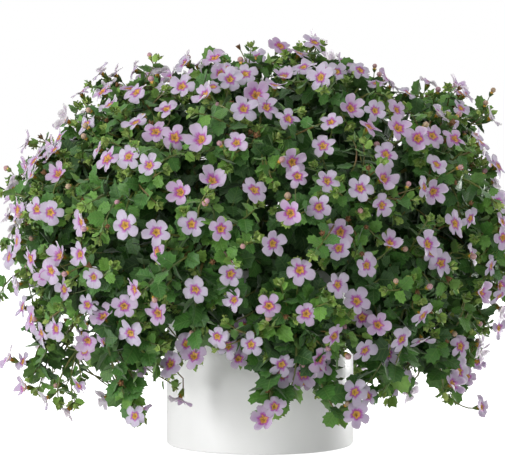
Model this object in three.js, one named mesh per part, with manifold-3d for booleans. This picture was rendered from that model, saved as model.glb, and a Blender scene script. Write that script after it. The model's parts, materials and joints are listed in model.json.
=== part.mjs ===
import * as THREE from "three";
import { mergeVertices } from "three/addons/utils/BufferGeometryUtils.js";
import Module from "manifold-3d";

// A bacopa in a straight white pot: a mound of thin leafy stems that rise from the soil,
// arch over the rim and hang down, covered with small five-lobed flowers.
// Millimetres, +Z up, the origin at the middle of the pot's underside.
// Azimuths are in degrees: 0 is right (+X), 90 is behind (+Y), 270 is the front (-Y).

// Driving dimensions.
const pot = {
  radius: 75,
  height: 140,
  wall: 3,
  floor: 4,
  edge: 1.2, // chamfer at the foot
  sides: 24,
  drainHoles: 4,
  drainRadius: 4,
  drainSides: 8,
  drainCircle: 46,
};
const soil = { top: 128, clearance: 0.3, sides: 24, holeDepth: 14 };
const crown = {
  halfWidth: 208, // right and left
  halfDepth: 200, // front and back
  rise: 136, // above the crown's middle
  drop: 160, // below it
  middle: 175, // height of the widest level
  ripple: 0.03,
  ripplesRound: 3,
  ripplesUp: 5,
  poleCrowding: 0.1, // evens out the area per stem on the flattened crown
};
const stems = {
  count: 36,
  turn: -25, // azimuth of the first, so that a low one hangs at the front
  lowest: -0.68, // level of the lowest one's head
  baseCircle: 57,
  radius: 1.7,
  sides: 3,
  pieces: 3, // of the arch
  upright: 4, // how far they rise straight out of the soil
  overRim: 50, // how high above the rim the lowest ones aim
  arch: 58, // how high above half way the others aim
  bendOut: 0.45, // where the arch aims, as a share of the way out to the head
  bendBelow: 10, // the lowest that this may be under the head
  headShare: 0.84, // of the way from the crown's middle to its surface
};
const core = {
  reach: 58, // the longest leaf tips, from the stem's head
  share: 0.6, // how wide the lump is, of that reach
  thickness: 8, // half the lump's thickness
  front: 21, // how far the tips stand out in front
  turns: 3, // of the lumps, for one way round the crown
  gap: 0.4, // to the halfway plane between two cores
  leastSlope: 0.01, // of a side towards a halfway plane that limits it
  fromPot: 9,
  pullBack: 0.1, // share of the way to the head, for one step off the pot
};
const flower = {
  count: 280,
  spacing: 21.5,
  lobes: 5,
  largest: 11.2,
  smallest: 8.8,
  notch: 0.5, // of the radius, between two lobes
  dish: 1.6, // how far the lobes stand above the throat
  throat: 2.2,
  tube: 5,
  tubeSides: 3,
  lean: 0.6, // how far a flower turns the way its shoot points
  rootOut: 12, // how far from its stem's head a shoot may start
  rootDepth: 3,
  depth: 0.07, // how far a flower may sit below the crown's surface, as a share
  lowestLevel: -0.95,
  clearOfStalk: 2,
  // how much of the crown's own upward slope a flower keeps, and what turns it further
  upAbove: 0.6,
  upBelow: 0.35,
  upMore: 0.12,
  outward: 0.45,
  strayAside: 1.0,
  strayUp: 0.7,
};
const leaf = {
  whorls: 33, // shoots with four leaves behind the flower
  perWhorl: 4,
  inner: 0.9, // length of the upper pair, as a share of the lower one
  tipRise: 0.6, // the tips curl down a little
  length: 17,
  halfWidth: 7.6,
  armpit: 2.4, // from the shoot's axis to the outline between two leaves
  node: 0.7, // the shoot's radius between the leaves, as a share of a flower's throat
  cup: 3.5, // how far the leaves rise
  thickness: 2.2, // at the shoot
  behindFlower: 9,
  clearance: 0.35,
};
// Half a leaf's edge, from its widest to the tooth before its tip: how far out along the leaf,
// how wide and how high, as shares of its length, half width and cup.
const teeth = [
  { out: 0.4, wide: 1, rise: 0.7 },
  { out: 0.5, wide: 0.74, rise: 0.8 },
  { out: 0.74, wide: 0.66, rise: 1 },
];

// Where the outline swells or dips, from the front view: level is the share of the rise or drop.
const swells = [
  { azimuth: 0, level: 0.4, by: -0.07, width: 0.2 },
  { azimuth: 0, level: 0.63, by: 0.18, width: 0.18 },
  { azimuth: 0, level: 0.9, by: -0.06, width: 0.2 },
  { azimuth: 350, level: 0.975, by: 0.14, width: 0.16 },
  { azimuth: 180, level: 0.93, by: -0.1, width: 0.14 },
  { azimuth: 186, level: 0.8, by: 0.09, width: 0.16 },
  { azimuth: 180, level: 0.55, by: -0.13, width: 0.22 },
  { azimuth: 225, level: 0.5, by: -0.07, width: 0.3 },
  { azimuth: 186, level: -0.72, by: 0.22, width: 0.2 },
  { azimuth: 352, level: -0.7, by: 0.13, width: 0.3 },
  { azimuth: 60, level: 0.7, by: 0.08, width: 0.25 },
  { azimuth: 120, level: 0.3, by: 0.06, width: 0.3 },
  { azimuth: 85, level: -0.6, by: 0.08, width: 0.3 },
];
// Below this level the crown has no flowers. It hangs lower at eight trails.
const skirt = { level: -0.76, trails: 8, trailAt: 278, trailDrop: 0.11, sway: 0.04, swaysRound: 2 };
const firstPhase = 1; // of the ripple and the sway

const finishes = {
  pot: { color: 0xf2f2f0, roughness: 0.45 },
  soil: { color: 0x2e2118, roughness: 0.95 },
  foliage: { color: 0x4a6b2f, roughness: 0.6 },
};

const goldenAngle = Math.PI * (3 - Math.sqrt(5));
const rad = THREE.MathUtils.degToRad;
const up = new THREE.Vector3(0, 0, 1);
const nearlyUpright = 0.9;
const mergeWithin = 1e-4;

// One repeatable stream of draws from 0 to 1.
let seed = 20;
function draw() {
  seed = (seed * 1664525 + 1013904223) % 4294967296;
  return seed / 4294967296;
}

// The unit vector at an azimuth and at a level from -1, straight down, to 1, straight up.
function direction(azimuth, level) {
  const flat = Math.sqrt(Math.max(0, 1 - level * level));
  return new THREE.Vector3(Math.cos(azimuth) * flat, Math.sin(azimuth) * flat, level);
}

function crownReach(azimuth, level) {
  const at = direction(azimuth, level);
  const wave = Math.sin(crown.ripplesRound * azimuth + firstPhase) * Math.cos(crown.ripplesUp * level);
  let reach = 1 + crown.ripple * wave;
  for (const swell of swells) {
    const away = at.distanceTo(direction(rad(swell.azimuth), swell.level)) / swell.width;
    reach += swell.by * Math.exp(-away * away);
  }
  return reach;
}

// The point at that share of the way from the crown's middle to its surface.
function crownPoint(azimuth, level, share) {
  const at = direction(azimuth, level).multiplyScalar(share * crownReach(azimuth, level));
  at.x *= crown.halfWidth;
  at.y *= crown.halfDepth;
  at.z = crown.middle + at.z * (level > 0 ? crown.rise : crown.drop);
  return at;
}

function crownNormal(azimuth, level) {
  const at = direction(azimuth, level);
  at.x /= crown.halfWidth;
  at.y /= crown.halfDepth;
  at.z /= level > 0 ? crown.rise : crown.drop;
  return at.normalize();
}

function skirtLevel(azimuth) {
  const trails = skirt.trailDrop * Math.cos(skirt.trails * (azimuth - rad(skirt.trailAt)));
  return skirt.level - trails - skirt.sway * Math.sin(skirt.swaysRound * azimuth + firstPhase);
}

// Stems stand in the soil in the pattern of a sunflower's seeds, and each heads for its own patch
// of the crown at the same azimuth, the inner ones to the top and the outer ones to the skirt.
function placeStems() {
  const placed = [];
  for (let i = 0; i < stems.count; i++) {
    const azimuth = i * goldenAngle + rad(stems.turn);
    const share = (i + 0.5) / stems.count;
    const even = 1 - share * (1 - stems.lowest);
    const level = even * (1 + crown.poleCrowding * (1 - even * even));
    const base = direction(azimuth, 0).multiplyScalar(stems.baseCircle * Math.sqrt(share));
    base.z = soil.top;
    const head = crownPoint(azimuth, level, stems.headShare);
    placed.push({ azimuth, base, head, facing: crownNormal(azimuth, level), flowers: [] });
  }
  return placed;
}

function nearestStem(placed, point) {
  let best = placed[0];
  for (const stem of placed) if (stem.head.distanceTo(point) < best.head.distanceTo(point)) best = stem;
  return best;
}

// The shortest way from a point to the straight line from a to b.
function distanceToLine(point, a, b) {
  const along = b.clone().sub(a);
  const t = THREE.MathUtils.clamp(point.clone().sub(a).dot(along) / along.lengthSq(), 0, 1);
  return point.distanceTo(a.clone().addScaledVector(along, t));
}

// Where the shoot of a flower starts, inside its stem's core.
function shootRoot(stem, at) {
  const out = at.clone().sub(stem.head);
  out.addScaledVector(stem.facing, -out.dot(stem.facing)).clampLength(0, flower.rootOut);
  return out.add(stem.head).addScaledVector(stem.facing, -flower.rootDepth);
}

// Where a flower's tube meets its shoot.
function throatOf(bloom) {
  return bloom.at.clone().addScaledVector(bloom.facing, -flower.tube);
}

// The way a flower looks before it strays: out of the crown, and not straight up on its top.
function facingOut(azimuth, level) {
  const facing = crownNormal(azimuth, level);
  facing.z = facing.z * (level < 0 ? flower.upBelow : flower.upAbove) + flower.upMore;
  return facing.addScaledVector(direction(azimuth, 0), flower.outward * Math.max(0, level));
}

// Flowers land at random on the crown, each clear of the others and of their stalks.
function placeFlowers(placed) {
  const flowers = [];
  const keepOff = flower.largest + flower.clearOfStalk;
  while (flowers.length < flower.count) {
    const azimuth = draw() * 2 * Math.PI;
    const level = 1 - draw() * (1 - flower.lowestLevel);
    const depth = draw();
    if (level < skirtLevel(azimuth)) continue;
    const at = crownPoint(azimuth, level, 1 - flower.depth * depth * depth);
    const stem = nearestStem(placed, at);
    const root = shootRoot(stem, at);
    const crowded = flowers.some(
      (f) =>
        f.at.distanceTo(at) < flower.spacing ||
        distanceToLine(at, f.root, f.at) < keepOff ||
        distanceToLine(f.at, root, at) < keepOff,
    );
    if (crowded) continue;
    const facing = facingOut(azimuth, level);
    facing.x += (draw() - 0.5) * flower.strayAside;
    facing.y += (draw() - 0.5) * flower.strayAside;
    facing.z += (draw() - 0.5) * flower.strayUp;
    facing.addScaledVector(at.clone().sub(root).normalize(), flower.lean);
    facing.normalize();
    const radius = flower.smallest + (flower.largest - flower.smallest) * draw();
    const found = { at, root, facing, radius, roll: draw() * 2 * Math.PI, stem };
    flowers.push(found);
    stem.flowers.push(found);
  }
  return flowers;
}

const wasm = await Module();
wasm.setup();
const { Manifold, Mesh } = wasm;

function solidOf(geometry) {
  const bare = geometry.index ? geometry.toNonIndexed() : geometry.clone();
  bare.deleteAttribute("normal");
  bare.deleteAttribute("uv");
  const merged = mergeVertices(bare, mergeWithin);
  return new Manifold(
    new Mesh({
      numProp: 3,
      vertProperties: merged.attributes.position.array,
      triVerts: new Uint32Array(merged.index.array),
    }),
  );
}

function geometryOf(solid) {
  const mesh = solid.getMesh();
  const points = new Float32Array(mesh.numVert * 3);
  for (let i = 0; i < mesh.numVert; i++) {
    points.set(mesh.vertProperties.subarray(i * mesh.numProp, i * mesh.numProp + 3), i * 3);
  }
  return new THREE.BufferGeometry()
    .setAttribute("position", new THREE.BufferAttribute(points, 3))
    .setIndex(new THREE.BufferAttribute(mesh.triVerts, 1));
}

// A closed surface over rings of points, from the first ring to the last. Every ring runs
// anticlockwise seen from the last one, may have its own number of points, and may be one point.
function loft(rings) {
  const points = [];
  const triangles = [];
  const starts = rings.map((ring) => {
    points.push(...ring);
    return points.length - ring.length;
  });
  for (let r = 0; r + 1 < rings.length; r++) {
    const [a, b] = [rings[r].length, rings[r + 1].length];
    let [i, j] = [0, 0];
    while (i < (a > 1 ? a : 0) || j < (b > 1 ? b : 0)) {
      const from = starts[r] + (i % a);
      const to = starts[r + 1] + (j % b);
      const stepFirst = b === 1 || (a > 1 && (i + 0.5) / a <= (j + 0.5) / b);
      if (stepFirst) {
        i++;
        triangles.push(from, starts[r] + (i % a), to);
      } else {
        j++;
        triangles.push(from, starts[r + 1] + (j % b), to);
      }
    }
  }
  const geometry = new THREE.BufferGeometry().setFromPoints(points);
  geometry.setIndex(triangles);
  return geometry;
}

function ring(centre, x, y, radius, count, offset = 0) {
  return Array.from({ length: count }, (_, k) => {
    const angle = offset + (k / count) * 2 * Math.PI;
    return centre
      .clone()
      .addScaledVector(x, radius * Math.cos(angle))
      .addScaledVector(y, radius * Math.sin(angle));
  });
}

// Two directions square to each other and to the facing.
function across(facing, roll = 0) {
  const guide = Math.abs(facing.z) > nearlyUpright ? new THREE.Vector3(1, 0, 0) : up;
  const x = new THREE.Vector3().crossVectors(guide, facing).normalize().applyAxisAngle(facing, roll);
  return [x, new THREE.Vector3().crossVectors(facing, x)];
}

// Where the leaves of a shoot stand, and the directions square to the shoot.
function whorlFrame(bloom) {
  const throat = throatOf(bloom);
  const shoot = throat.clone().sub(bloom.root).normalize();
  const [x, y] = across(shoot, bloom.roll);
  return { centre: throat.clone().addScaledVector(shoot, -leaf.behindFlower), shoot, x, y };
}

// The outline of a shoot's leaves in one ring, toothed, with the shoot's own edge between leaves.
function whorlOutline({ centre, shoot, x, y }, grow = 0) {
  const outline = [];
  const add = (angle, out, aside, lift) => {
    const [cos, sin] = [Math.cos(angle), Math.sin(angle)];
    const point = centre.clone().addScaledVector(x, out * cos - aside * sin);
    outline.push(point.addScaledVector(y, out * sin + aside * cos).addScaledVector(shoot, lift));
  };
  for (let i = 0; i < leaf.perWhorl; i++) {
    const angle = (i / leaf.perWhorl) * 2 * Math.PI;
    const length = leaf.length * (i % 2 ? leaf.inner : 1) + grow;
    const half = leaf.halfWidth + grow;
    add(angle - Math.PI / leaf.perWhorl, leaf.armpit + grow, 0, 0);
    for (const tooth of teeth) add(angle, length * tooth.out, -half * tooth.wide, leaf.cup * tooth.rise);
    add(angle, length, 0, leaf.cup * leaf.tipRise);
    for (const tooth of teeth.toReversed()) {
      add(angle, length * tooth.out, half * tooth.wide, leaf.cup * tooth.rise);
    }
  }
  return outline;
}

function makeWhorl(bloom, grow) {
  const frame = whorlFrame(bloom);
  const half = leaf.thickness / 2 + grow;
  const below = frame.centre.clone().addScaledVector(frame.shoot, -half);
  const above = frame.centre.clone().addScaledVector(frame.shoot, half);
  return solidOf(loft([[below], whorlOutline(frame, grow), [above]]));
}

// One flower with its shoot: a dished star of five lobes on a tube, and a shoot that tapers
// back into the core, through its leaves if it has them.
function makeFlower(bloom) {
  const { at, facing, radius, roll } = bloom;
  const frame = whorlFrame(bloom);
  const [x, y] = across(facing, roll);
  const raised = at.clone().addScaledVector(facing, flower.dish);
  const lobes = ring(raised, x, y, radius, 2 * flower.lobes);
  lobes.forEach((point, k) => k % 2 && point.lerp(raised, 1 - flower.notch));
  const bend = facing.clone().add(frame.shoot).normalize();
  const neckX = frame.x.clone().addScaledVector(bend, -frame.x.dot(bend)).normalize();
  const neckY = new THREE.Vector3().crossVectors(bend, neckX);
  const neck = ring(throatOf(bloom), neckX, neckY, flower.throat, flower.tubeSides);
  const rings = [neck, lobes, [at]];
  if (bloom.leafy) {
    const node = (side) => {
      const centre = frame.centre.clone().addScaledVector(frame.shoot, side * (leaf.thickness / 2));
      return ring(centre, frame.x, frame.y, flower.throat * leaf.node, flower.tubeSides);
    };
    rings.unshift(node(-1), whorlOutline(frame), node(1));
  }
  return solidOf(loft([[bloom.root], ...rings]));
}

// The main stem's way: upright in its hole, then arching over to its patch of the crown.
function stemWay(stem) {
  const foot = stem.base.clone().setZ(soil.top - soil.holeDepth);
  const start = stem.base.clone().setZ(soil.top + stems.upright);
  const out = Math.hypot(stem.head.x, stem.head.y);
  const baseOut = Math.hypot(stem.base.x, stem.base.y);
  const bend = direction(stem.azimuth, 0).multiplyScalar(THREE.MathUtils.lerp(baseOut, out, stems.bendOut));
  const highest = Math.min(stem.head.z - stems.bendBelow, (soil.top + stem.head.z) / 2 + stems.arch);
  bend.z = Math.max(pot.height + stems.overRim, highest);
  return [foot, ...new THREE.QuadraticBezierCurve3(start, bend, stem.head).getPoints(stems.pieces)];
}

// A stem only bends in the upright plane through the pot's axis, so each ring is square to its
// own piece of that plane.
function makeStem(stem) {
  const way = stemWay(stem);
  const last = way.length - 1;
  const sideways = direction(stem.azimuth + Math.PI / 2, 0);
  const rings = way.map((point, i) => {
    const onward = i < 2 ? up.clone() : way[Math.min(last, i + 1)].clone().sub(way[i - 1]).normalize();
    const outward = new THREE.Vector3().crossVectors(sideways, onward);
    return ring(point, outward, sideways, stems.radius, stems.sides);
  });
  return solidOf(loft([[way[0]], ...rings, [way[last]]]));
}

// A point beside a stem's head, that far out to the side as a share of what the core may reach.
// It keeps to the stem's own side of the halfway planes to the other heads, and off the pot.
function besideHead(stem, side, height, share) {
  let reach = core.reach;
  for (const other of placed) {
    const away = other.head.clone().sub(stem.head);
    const half = away.length() / 2 - core.gap;
    away.normalize();
    const slope = side.dot(away);
    if (slope < core.leastSlope) continue;
    reach = Math.min(reach, (half - height * stem.facing.dot(away)) / slope);
  }
  const point = stem.head.clone().addScaledVector(stem.facing, height);
  point.addScaledVector(side, reach * share);
  const low = point.z < pot.height + core.fromPot;
  const clearOut = pot.radius + core.fromPot;
  while (low && Math.hypot(point.x, point.y) < clearOut) point.lerp(stem.head, core.pullBack);
  return point;
}

// The clump of older leaves behind each patch, which its flowers and leaves stand out of: a low
// lump of twenty faces, with the pointed end of a leaf standing on each.
function makeCore(stem) {
  const [x, y] = across(stem.facing, stem.azimuth * core.turns);
  const place = (v, share, height) => {
    const side = x.clone().multiplyScalar(v.x).addScaledVector(y, v.y);
    const flat = side.length();
    return besideHead(stem, side.normalize(), v.z * height, flat * share);
  };
  const lump = new THREE.IcosahedronGeometry(1, 0).getAttribute("position");
  const points = [];
  for (let face = 0; face < lump.count; face += 3) {
    const corners = [0, 1, 2].map((k) => new THREE.Vector3().fromBufferAttribute(lump, face + k));
    const middle = corners[0].clone().add(corners[1]).add(corners[2]).normalize();
    const tip = place(middle, 1, core.front);
    const base = corners.map((v) => place(v, core.share, core.thickness));
    for (let k = 0; k < 3; k++) points.push(base[k], base[(k + 1) % 3], tip);
  }
  return solidOf(new THREE.BufferGeometry().setFromPoints(points));
}

function boxesMeet(a, b) {
  return [0, 1, 2].every((k) => a.min[k] < b.max[k] && b.min[k] < a.max[k]);
}

const placed = placeStems();
placeFlowers(placed);

const pieces = []; // every solid so far, with its stem and its box
function keep(stem, solid, bloom) {
  pieces.push({ stem, bloom, solid, box: solid.boundingBox() });
}
// Whether a shoot's leaves would be clear of everything but the shoot itself.
function hasRoom(bloom) {
  const solid = makeWhorl(bloom, leaf.clearance);
  const near = pieces.filter((p) => p.bloom !== bloom && boxesMeet(p.box, solid.boundingBox()));
  return near.every((p) => p.solid.intersect(solid).isEmpty());
}

for (const stem of placed) {
  keep(stem, makeStem(stem));
  keep(stem, makeCore(stem));
  for (const bloom of stem.flowers) keep(stem, makeFlower(bloom), bloom);
}
// Each stem in turn gets leaves on its next shoot with room, so that they are even all round.
let whorlsLeft = leaf.whorls;
for (let turn = 0; whorlsLeft > 0 && turn < flower.count; turn++) {
  for (const stem of placed) {
    const bloom = stem.flowers[turn];
    if (!bloom || whorlsLeft === 0 || !hasRoom(bloom)) continue;
    bloom.leafy = true;
    const piece = pieces.find((p) => p.bloom === bloom);
    piece.solid = makeFlower(bloom);
    piece.box = piece.solid.boundingBox();
    whorlsLeft--;
  }
}

function lathe(profile, sides) {
  const outline = profile.map(([r, z]) => new THREE.Vector2(r, z));
  return new THREE.LatheGeometry(outline, sides).rotateX(Math.PI / 2);
}

function makePot() {
  const { radius, height, wall, floor, edge } = pot;
  const inside = radius - wall;
  let solid = solidOf(
    lathe(
      [
        [0, 0],
        [radius - edge, 0],
        [radius, edge],
        [radius, height],
        [inside, height],
        [inside, floor],
        [0, floor],
      ],
      pot.sides,
    ),
  );
  const throughFloor = 3 * floor;
  for (let i = 0; i < pot.drainHoles; i++) {
    const angle = ((i + 0.5) / pot.drainHoles) * 2 * Math.PI;
    const hole = new THREE.CylinderGeometry(pot.drainRadius, pot.drainRadius, throughFloor, pot.drainSides);
    hole.rotateX(Math.PI / 2);
    hole.translate(pot.drainCircle * Math.cos(angle), pot.drainCircle * Math.sin(angle), floor / 2);
    solid = solid.subtract(solidOf(hole));
  }
  return geometryOf(solid);
}

function makeSoil() {
  const side = pot.radius - pot.wall - soil.clearance;
  const bottom = pot.floor + soil.clearance;
  const body = solidOf(
    lathe(
      [
        [0, bottom],
        [side, bottom],
        [side, soil.top],
        [0, soil.top],
      ],
      soil.sides,
    ),
  );
  // A plain hole for each stem, of the stem's own section.
  const holes = placed.map((stem) => {
    const outward = direction(stem.azimuth, 0);
    const sideways = direction(stem.azimuth + Math.PI / 2, 0);
    const deep = stem.base.clone().setZ(soil.top - soil.holeDepth - soil.clearance);
    const high = stem.base.clone().setZ(soil.top + soil.holeDepth);
    const radius = stems.radius + 2 * soil.clearance;
    const rings = [deep, high].map((end) => ring(end, outward, sideways, radius, stems.sides));
    return solidOf(loft([[deep], ...rings, [high]]));
  });
  return geometryOf(body.subtract(Manifold.union(holes)));
}

function named(name, geometry, finish) {
  const mesh = new THREE.Mesh(geometry, new THREE.MeshStandardMaterial({ ...finish, flatShading: true }));
  mesh.name = name;
  return mesh;
}

const bacopa = new THREE.Group();
bacopa.add(named("pot", makePot(), finishes.pot));
bacopa.add(named("soil", makeSoil(), finishes.soil));
placed.forEach((stem, i) => {
  const own = pieces.filter((p) => p.stem === stem).map((p) => p.solid);
  const name = "leafy_stem_" + String(i + 1).padStart(2, "0");
  bacopa.add(named(name, geometryOf(Manifold.union(own)), finishes.foliage));
});

export default bacopa;
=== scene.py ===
import json
import math
import random
import time

import bmesh
import bpy
import numpy as np
from mathutils import Matrix, Vector

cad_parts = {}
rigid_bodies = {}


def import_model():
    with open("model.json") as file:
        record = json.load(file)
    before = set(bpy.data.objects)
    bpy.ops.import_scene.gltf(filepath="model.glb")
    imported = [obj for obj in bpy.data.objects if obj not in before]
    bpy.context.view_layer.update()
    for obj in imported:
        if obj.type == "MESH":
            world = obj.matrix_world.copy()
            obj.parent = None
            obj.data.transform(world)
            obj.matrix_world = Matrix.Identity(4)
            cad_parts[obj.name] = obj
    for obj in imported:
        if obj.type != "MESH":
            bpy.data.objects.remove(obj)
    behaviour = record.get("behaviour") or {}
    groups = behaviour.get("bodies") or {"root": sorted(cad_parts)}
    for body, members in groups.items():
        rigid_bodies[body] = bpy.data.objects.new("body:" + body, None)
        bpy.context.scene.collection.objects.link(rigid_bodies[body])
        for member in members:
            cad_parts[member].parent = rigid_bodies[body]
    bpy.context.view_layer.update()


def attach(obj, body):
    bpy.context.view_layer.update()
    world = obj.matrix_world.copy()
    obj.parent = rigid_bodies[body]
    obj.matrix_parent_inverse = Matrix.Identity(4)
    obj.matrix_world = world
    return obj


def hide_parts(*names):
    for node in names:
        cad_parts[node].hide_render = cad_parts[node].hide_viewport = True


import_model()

# A potted bacopa. Sizes are in millimetres until a mesh is made, then in metres.
# Azimuths: 0 is right (+X), 90 is behind (+Y), 270 is the front (-Y).
mm = 0.001
fullTurn = 2 * math.pi
goldenAngle = math.pi * (3 - math.sqrt(5))
white = (1, 1, 1, 1)
seeds = {"shapes": 11, "growth": 31, "moreFlowers": 77, "soil": 3}
startedAt = time.time()


def report(stage):
    print(f"{time.time() - startedAt:6.1f} s  {stage}")


def screenColour(red, green, blue):
    # from screen values, 0 to 255, to the linear ones that the nodes take
    channels = [c / 255 for c in (red, green, blue)]
    return tuple(c / 12.92 if c < 0.04 else ((c + 0.055) / 1.055) ** 2.4 for c in channels) + (1,)


def addToScene(name, data):
    made = bpy.data.objects.new(name, data)
    bpy.context.scene.collection.objects.link(made)
    return made


def finishMesh(name, bm, materials):
    mesh = bpy.data.meshes.new(name)
    bm.to_mesh(mesh)
    bm.free()
    for material in materials:
        mesh.materials.append(material)
    mesh.polygons.foreach_set("use_smooth", [True] * len(mesh.polygons))
    return addToScene(name, mesh)


# Nodes


def addNode(tree, kind, **settings):
    node = tree.nodes.new(kind)
    for key, value in settings.items():
        setattr(node, key, value)
    return node


def feed(tree, node, values):
    # each value is a number, a colour or the output of another node
    for socket, value in values.items():
        if hasattr(value, "is_output"):
            tree.links.new(value, node.inputs[socket])
        else:
            node.inputs[socket].default_value = value


def addMath(tree, operation, *values):
    node = addNode(tree, "ShaderNodeMath", operation=operation)
    feed(tree, node, dict(enumerate(values)))
    return node.outputs[0]


def addRamp(tree, factor, stops):
    ramp = addNode(tree, "ShaderNodeValToRGB")
    elements = ramp.color_ramp.elements
    while len(elements) < len(stops):
        elements.new(0.5)
    for element, (position, colour) in zip(elements, stops):
        element.position = position
        element.color = screenColour(*colour)
    feed(tree, ramp, {0: factor})
    return ramp.outputs[0]


def addMix(tree, factor, first, second, blend="MIX"):
    node = addNode(tree, "ShaderNodeMix", data_type="RGBA", blend_type=blend)
    feed(tree, node, {0: factor, 6: first, 7: second})
    return node.outputs[2]


def addNoise(tree, scale, detail, vector):
    noise = addNode(tree, "ShaderNodeTexNoise")
    feed(tree, noise, {"Scale": scale, "Detail": detail, "Vector": vector})
    return noise.outputs["Fac"]


def addBump(tree, shader, height, distance, strength):
    bump = addNode(tree, "ShaderNodeBump")
    feed(tree, bump, {"Height": height, "Distance": distance, "Strength": strength})
    feed(tree, shader, {"Normal": bump.outputs[0]})


def newGroup(name, inputs, outputs):
    group = bpy.data.node_groups.new(name, "ShaderNodeTree")
    for socket, value in inputs.items():
        made = group.interface.new_socket(socket, in_out="INPUT", socket_type="NodeSocketFloat")
        made.default_value = value
    for socket in outputs:
        group.interface.new_socket(socket, in_out="OUTPUT", socket_type="NodeSocketFloat")
    return group, group.nodes.new("NodeGroupInput").outputs, group.nodes.new("NodeGroupOutput")


def useGroup(tree, name, **values):
    node = addNode(tree, "ShaderNodeGroup", node_tree=bpy.data.node_groups[name])
    feed(tree, node, values)
    return node.outputs


def makeMottle():
    # soft uneven patches, the same in every piece because they follow the object's own place
    group, taken, given = newGroup("mottle", {"Scale": 100, "Detail": 3}, ["Mask"])
    ownPlace = addNode(group, "ShaderNodeTexCoord").outputs["Object"]
    feed(group, given, {"Mask": addNoise(group, taken["Scale"], taken["Detail"], ownPlace)})


def makeVeins():
    # a middle rib and side veins that slant from it towards the tip, on a leaf's own map
    group, taken, given = newGroup("leaf_veins", {"Side Veins": 17, "Rib Width": 0.036}, ["Veins"])
    uv, across, along = ownMapParts(group)
    fromRib = addMath(group, "ABSOLUTE", addMath(group, "SUBTRACT", across, 0.5))
    behind = addMath(group, "SUBTRACT", along, addMath(group, "MULTIPLY", fromRib, 0.7))
    wander = addMath(group, "MULTIPLY", addNoise(group, 5, 2, uv), 1.4)
    slanted = addMath(group, "MULTIPLY_ADD", behind, taken["Side Veins"], wander)
    sides = addMath(group, "POWER", addMath(group, "ABSOLUTE", addMath(group, "COSINE", slanted)), 14)
    rib = addMath(group, "SUBTRACT", 1, addMath(group, "DIVIDE", fromRib, taken["Rib Width"]))
    rib = addMath(group, "MAXIMUM", rib, 0)
    feed(group, given, {"Veins": addMath(group, "MAXIMUM", addMath(group, "MULTIPLY", sides, 0.5), rib)})


def makeFromMiddle():
    # how far a place is from the own map's middle, and its turn round that middle
    group, taken, given = newGroup("from_middle", {"Stretch": 1}, ["Away", "Turn"])
    _, u, v = ownMapParts(group)
    x = addMath(group, "SUBTRACT", u, 0.5)
    y = addMath(group, "SUBTRACT", v, 0.5)
    squares = addMath(group, "MULTIPLY_ADD", x, x, addMath(group, "MULTIPLY", y, y))
    away = addMath(group, "MULTIPLY", addMath(group, "SQRT", squares), taken["Stretch"])
    feed(group, given, {"Away": away, "Turn": addMath(group, "ARCTAN2", y, x)})


def ownMapParts(tree):
    uv = addNode(tree, "ShaderNodeUVMap", uv_map="ownMap").outputs[0]
    parts = addNode(tree, "ShaderNodeSeparateXYZ")
    feed(tree, parts, {0: uv})
    return uv, parts.outputs[0], parts.outputs[1]


def addMottle(tree, scale, detail=3):
    return useGroup(tree, "mottle", Scale=scale, Detail=detail)[0]


def tintOf(tree):
    return addNode(tree, "ShaderNodeAttribute", attribute_name="tint").outputs["Fac"]


# Materials


def newMaterial(name, settings):
    material = bpy.data.materials.new(name)
    material.use_nodes = True
    shader = material.node_tree.nodes["Principled BSDF"]
    feed(material.node_tree, shader, settings)
    return material, material.node_tree, shader


def mottledMaterial(name, look):
    # colour and relief both follow soft uneven patches
    material, tree, shader = newMaterial(name, {"Roughness": look["roughness"]})
    detail = look.get("detail", 3)
    colour = addRamp(tree, addMottle(tree, look["patches"], detail), look["stops"])
    feed(tree, shader, {"Base Color": colour})
    addBump(tree, shader, addMottle(tree, look["grain"], detail), look["depth"], look["strength"])
    return material


stemLook = {
    "roughness": 0.5,
    "patches": 40,
    "stops": [(0.3, (64, 84, 36)), (0.52, (104, 112, 52)), (0.7, (108, 78, 44))],
    "grain": 900,
    "depth": 0.0002,
    "strength": 0.4,
}
spentLook = {
    "roughness": 0.75,
    "patches": 400,
    "stops": [(0.3, (84, 56, 32)), (0.7, (134, 96, 56))],
    "grain": 400,
    "depth": 0.0003,
    "strength": 0.5,
}
tubeLook = {
    "roughness": 0.5,
    "patches": 300,
    "stops": [(0.3, (198, 140, 44)), (0.7, (222, 180, 84))],
    "grain": 300,
    "depth": 0.0002,
    "strength": 0.3,
}
leafLook = {
    # tint runs from an old leaf, 0, to a young one, 1
    "greens": [(0.0, (36, 74, 27)), (0.35, (60, 112, 36)), (0.65, (100, 148, 52)), (1.0, (154, 180, 86))],
    "patches": [(0.3, (130, 130, 130)), (0.7, (255, 255, 250))],
    "patchScale": 260,
    "patchShare": 0.35,
    "veinShare": 0.24,
    "veinTone": (132, 164, 84),
    "specular": 0.35,
    # the down of fine hairs
    "down": {"Sheen Weight": 0.2, "Sheen Roughness": 0.45},
}


def leafMaterial(name, roughness, paler=(0, 0, 0)):
    look = leafLook
    settings = {"Roughness": roughness, "Specular IOR Level": look["specular"], **look["down"]}
    material, tree, shader = newMaterial(name, settings)
    stops = [(at, [c + more for c, more in zip(colour, paler)]) for at, colour in look["greens"]]
    mottled = addMottle(tree, look["patchScale"])
    patches = addRamp(tree, mottled, look["patches"])
    shaded = addMix(tree, look["patchShare"], addRamp(tree, tintOf(tree), stops), patches, "MULTIPLY")
    veins = useGroup(tree, "leaf_veins")[0]
    onVeins = addMath(tree, "MULTIPLY", veins, look["veinShare"])
    feed(tree, shader, {"Base Color": addMix(tree, onVeins, shaded, screenColour(*look["veinTone"]))})
    addBump(tree, shader, addMath(tree, "SUBTRACT", mottled, veins), 0.0004, 0.5)
    return material


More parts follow.
